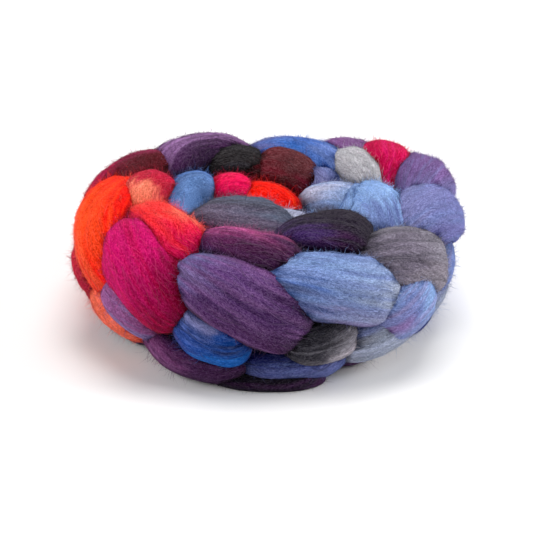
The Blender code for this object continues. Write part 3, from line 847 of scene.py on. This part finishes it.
def loose(patch, tones, tree, per_mm2, room):
    """Where a patch's loose fibres stand, their directions and their colours."""
    count = int(area_of(patch) * HAIRY_SHARE * per_mm2)
    row, col = sample(patch, count)
    place = lookup(patch.points, row, col)
    normal = unit(lookup(patch.normals, row, col))
    free = clear_of(tree, place, normal, room)
    free &= rng.random(count) < np.where(normal[:, 2] < UNDER, UNDER_SHARE, 1)
    row, col, place, normal = row[free], col[free], place[free], normal[free]
    ahead = unit(lookup(patch.points, row + 1.0, col) - place)
    return Roots(len(place), row, col, place, normal, ahead, lookup(tones, row, col))


# Standing fibres: how many to a square mm, the free room each needs over it in mm, how many places its
# path has, its mean and least length and its radius in mm, how far it curls, and the pieces that share it.
Fuzz = namedtuple("Fuzz", "name per_mm2 room places mean least radius curl pieces")
FUZZ = [
    Fuzz("down", 0.58, 1.5, 2, 1.7, 0.5, 0.045, 0.0, 3),
    Fuzz("wisps", 0.15, 3.0, 3, 3.0, 1.2, 0.042, 0.5, 2),
    Fuzz("strays", 0.05, 3.0, 3, 2.6, 1.2, 0.085, 0.6, 1),
    Fuzz("halo", 0.035, 4.5, 5, 4.2, 1.8, 0.038, 0.7, 1),
]
LEAST_HEIGHT = 0.2  # mm over the table
ROOT_DEPTH = 0.2  # mm that a fibre starts under the lobe's surface


def standing(mesh, kind, roots):
    """Fibres that stand off a patch, leaning along it and curling."""
    n = roots.count
    swirl = unit(rng.normal(size=(n, 3)))
    rise, lean = rng.uniform(0.3, 1.0, (n, 1)), rng.uniform(-0.4, 0.9, (n, 1))
    heading = unit(roots.normal * rise + roots.ahead * lean + 0.65 * swirl)
    spare = np.minimum(rng.gamma(3.0, kind.mean / 3.0, (n, 1)), 2 * kind.mean)
    steps = (kind.least + spare) / (kind.places - 1)
    bend = unit(rng.normal(size=(n, 3))) * rng.uniform(0.2, 1.0, (n, 1)) * kind.curl
    path = [roots.place - roots.normal * ROOT_DEPTH]
    for k in range(kind.places - 1):
        path.append(path[-1] + heading * steps)
        heading = unit(heading + bend + rng.normal(0, 0.3 * kind.curl, (n, 3)))
    path = np.stack(path, 1)
    path[..., 2] = np.maximum(path[..., 2], LEAST_HEIGHT)
    taper = 1 - (np.arange(kind.places) / (kind.places - 1)) ** 2
    radii = kind.radius * rng.uniform(0.8, 1.3, (n, 1)) * taper
    # fibres take the lobe's tone with its painted crease shade, made paler: partly the paler look of thin
    # fibres, partly painted light against their own shadows
    shade = roots.tones * rng.uniform(0.9, 1.6, (n, 1)) + rng.uniform(0.0, 0.03, (n, 1))
    fibres(mesh, path, radii, np.clip(shade, 0, 1))


STRANDS_PER_MM2 = 0.045
STRAND_ROOM = 2.0  # mm
STRAND_RADII = np.array([0.06, 0.09, 0.08, 0.0])  # mm, from root to tip
END_MARGIN = 3  # rings at a lobe's end that strands keep off


def lying(mesh, patch, roots):
    """Strands that lie along a patch and rise a little off it at their tips."""
    n, places = roots.count, len(STRAND_RADII)
    step = rng.uniform(1.5, 3.2, n)[:, None] * np.arange(places)[None]
    drift = np.cumsum(rng.normal(0, 0.7, (n, 1)) + rng.normal(0, 0.6, (n, places)), axis=1)
    ring_gap = np.median(np.linalg.norm(patch.points[1:] - patch.points[:-1], axis=-1))
    column_gap = np.median(np.linalg.norm(np.roll(patch.points, -1, 1) - patch.points, axis=-1))
    row = roots.row[:, None] + step / max(ring_gap, 0.3)
    col = roots.col[:, None] + drift / max(column_gap, 0.2)
    kept = (row < patch.points.shape[0] - END_MARGIN).all(1)
    row, col, tones = row[kept], col[kept], roots.tones[kept]
    n = len(row)
    lift = rng.uniform(0.05, 0.45, (n, 1)) + 0.25 * rng.random((n, places))
    lift[:, 0] = -ROOT_DEPTH
    lift[:, -1] = rng.uniform(-0.1, 1.2, n)
    path = lookup(patch.points, row, col) + unit(lookup(patch.normals, row, col)) * lift[..., None]
    path[..., 2] = np.maximum(path[..., 2], LEAST_HEIGHT)
    # strands take the lobe's tone with its painted crease shade, lighter or darker at random
    shade = tones * rng.uniform(0.75, 1.5, (n, 1)) + rng.uniform(0, 0.05, (n, 1))
    fibres(mesh, path, np.broadcast_to(STRAND_RADII, (n, places)), np.clip(shade, 0, 1))


# ---- Build ----
# each visible piece of stitches, and the lobe that it starts from
GROUPS = [("outer_stitches", "orange"), ("inner_stitches", "peachtop"), ("lower_stitches", "mauvesliver"),
          ("curled_end", "nestblue"), ("far_side_stitches", "bulge0")]
Detail = namedtuple("Detail", "stations outer inner")  # columns over a lobe's outward and inward part
FRONT_DETAIL = Detail(46, 44, 8)
FAR_DETAIL = Detail(26, 24, 6)

patches = [surface(lobe, k, *(FRONT_DETAIL if k < len(LOBES) else FAR_DETAIL))
           for k, lobe in enumerate(every_lobe())]
tree = tree_of(patches)
wool_material = wool()
# every lobe's dyes with the painted crease shade on them
tones_with_painted_shade = [paint_crease_shade(patch, tree) for patch in patches]
names = [patch.lobe.name for patch in patches]
starts = [names.index(lobe) for _, lobe in GROUPS] + [len(names)]
for (name, _), begin, end in zip(GROUPS, starts, starts[1:]):
    piece = Mesh()
    for patch, tones in zip(patches[begin:end], tones_with_painted_shade[begin:end]):
        add_lobe(piece, patch, tones)
    piece.make(name, wool_material)

# the imported wool behind the stitches: each turn's own form, set in, and a low cushion in the middle
# painted shade: the core is darker than any dye, so the deep gaps between the stitches read as shade
CORE_SHADE_TONE = TONES["aubergine"] * 0.6
CORE_BOTTOM = 1.5  # mm
CUSHION_ROWS, CUSHION_COLS = 12, 36


def add_turn(mesh, name):
    around, tilt = np.meshgrid(np.arange(0, 360, 5.0), np.arange(0, 360, 15.0), indexing="ij")
    place, normal = on_turn(TURNS[name], around, tilt)
    place = place - normal * CORE_INSET
    place[..., 2] = np.maximum(place[..., 2], CORE_BOTTOM)
    m, n = around.shape
    i, j = np.meshgrid(np.arange(m), np.arange(n), indexing="ij")
    next_i, next_j = (i + 1) % m, (j + 1) % n
    quads = np.stack([i * n + j, next_i * n + j, next_i * n + next_j, i * n + next_j], -1).reshape(-1, 4)
    tone = np.broadcast_to(CORE_SHADE_TONE, (m * n, 3))
    mesh.add(place.reshape(-1, 3), quads, [], tone, np.stack([around, tilt], -1).reshape(-1, 2))


def add_cushion(mesh, x, y):
    lat = np.radians(np.linspace(-90, 90, CUSHION_ROWS + 2)[1:-1])
    a, b = np.meshgrid(lat, np.linspace(0, 2 * math.pi, CUSHION_COLS, endpoint=False), indexing="ij")
    half = (MIDDLE_TOP - MIDDLE_BOTTOM) / 2
    ball = np.stack([x + MIDDLE_R * np.cos(a) * np.cos(b), y + MIDDLE_R * np.cos(a) * np.sin(b),
                     MIDDLE_BOTTOM + half + half * np.sin(a)], -1)
    poles = np.array([[x, y, MIDDLE_BOTTOM], [x, y, MIDDLE_TOP]])
    points = np.concatenate([ball.reshape(-1, 3), poles])
    mesh.add(points, ring_faces(CUSHION_ROWS, CUSHION_COLS), pole_faces(CUSHION_ROWS, CUSHION_COLS),
             np.broadcast_to(CORE_SHADE_TONE, points.shape), np.zeros((len(points), 2)))


over = TURNS["main"]
core = Mesh()
for name in TURNS:
    add_turn(core, name)
add_cushion(core, over.x, over.y)
core.make("packed_core", wool_material)

# the loose fibres take the lobes' tones, painted crease shade included
loose_material = loose_wool()
for kind in FUZZ:
    pieces = [Mesh() for k in range(kind.pieces)]
    for k, patch in enumerate(patches):
        roots = loose(patch, tones_with_painted_shade[k], tree, kind.per_mm2, kind.room)
        if roots.count:
            standing(pieces[k % kind.pieces], kind, roots)
    for k, piece in enumerate(pieces):
        piece.make(f"{kind.name}_{k}", loose_material)
strands = Mesh()
for patch, tones in zip(patches, tones_with_painted_shade):
    roots = loose(patch, tones, tree, STRANDS_PER_MM2, STRAND_ROOM)
    if roots.count:
        lying(strands, patch, roots)
strands.make("lying_strands", loose_material)

# ---- Floor, light and camera ----
FLOOR = 3.0  # m from the middle to each side
PAPER = (0.90, 0.895, 0.89, 1)
WORLD_STRENGTH = 0.14

# Lights: where each stands and what it is aimed at, in metres, its side in metres and its power in watts.
Softbox = namedtuple("Softbox", "name place aim size power")
SOFTBOXES = [
    Softbox("overhead", (0.12, 0.38, 2.2), (0, 0, 0), 1.4, 37.0),
    Softbox("left", (-1.8, -0.1, 0.9), (0, 0, 0.03), 1.0, 26.0),
    Softbox("right", (1.8, 0.0, 0.9), (0, 0, 0.03), 1.0, 36.0),
    Softbox("front", (-0.3, -1.8, 1.3), (0, 0, 0.03), 1.2, 4.5),
]

ELEVATION = math.radians(25.0)
DISTANCE = 0.70  # m
MM_PER_PIXEL = 0.5025  # at the nest's centre
FRAME_PIXELS = 533
BASE_ROW = 301.4  # the picture row of the centre of the base
SENSOR = 36.0  # mm


def add_floor():
    corners = [(-FLOOR, -FLOOR, 0), (FLOOR, -FLOOR, 0), (FLOOR, FLOOR, 0), (-FLOOR, FLOOR, 0)]
    mesh = bpy.data.meshes.new("floor")
    mesh.from_pydata(corners, [], [(0, 1, 2, 3)])
    floor = bpy.data.objects.new("floor", mesh)
    bpy.context.scene.collection.objects.link(floor)
    mesh.materials.append(principled("paper", Base_Color=PAPER, Roughness=0.9)[0])


def light_world():
    world = bpy.data.worlds.new("studio")
    bpy.context.scene.world = world
    world.use_nodes = True
    background = world.node_tree.nodes["Background"]
    background.inputs["Color"].default_value = (1, 1, 1, 1)
    background.inputs["Strength"].default_value = WORLD_STRENGTH


def add_light(box):
    data = bpy.data.lights.new(box.name, "AREA")
    data.shape = "SQUARE"
    data.size = box.size
    data.energy = box.power
    lamp = bpy.data.objects.new(box.name, data)
    lamp.location = box.place
    lamp.rotation_euler = (Vector(box.aim) - Vector(box.place)).to_track_quat("-Z", "Y").to_euler()
    bpy.context.scene.collection.objects.link(lamp)


def add_camera():
    data = bpy.data.cameras.new("camera")
    camera = bpy.data.objects.new("camera", data)
    back = Vector((0, -math.cos(ELEVATION), math.sin(ELEVATION)))
    up = Vector((0, math.sin(ELEVATION), math.cos(ELEVATION)))
    aim = Vector((over.x * MM, over.y * MM, 0)) + up * (BASE_ROW - FRAME_PIXELS / 2) * MM_PER_PIXEL * MM
    camera.location = aim + back * DISTANCE
    camera.rotation_euler = back.to_track_quat("Z", "Y").to_euler()
    data.sensor_width = SENSOR
    data.lens = SENSOR * DISTANCE / (FRAME_PIXELS * MM_PER_PIXEL * MM)
    bpy.context.scene.collection.objects.link(camera)
    bpy.context.scene.camera = camera


add_floor()
light_world()
for box in SOFTBOXES:
    add_light(box)
add_camera()
bpy.context.scene.view_settings.view_transform = "Standard"
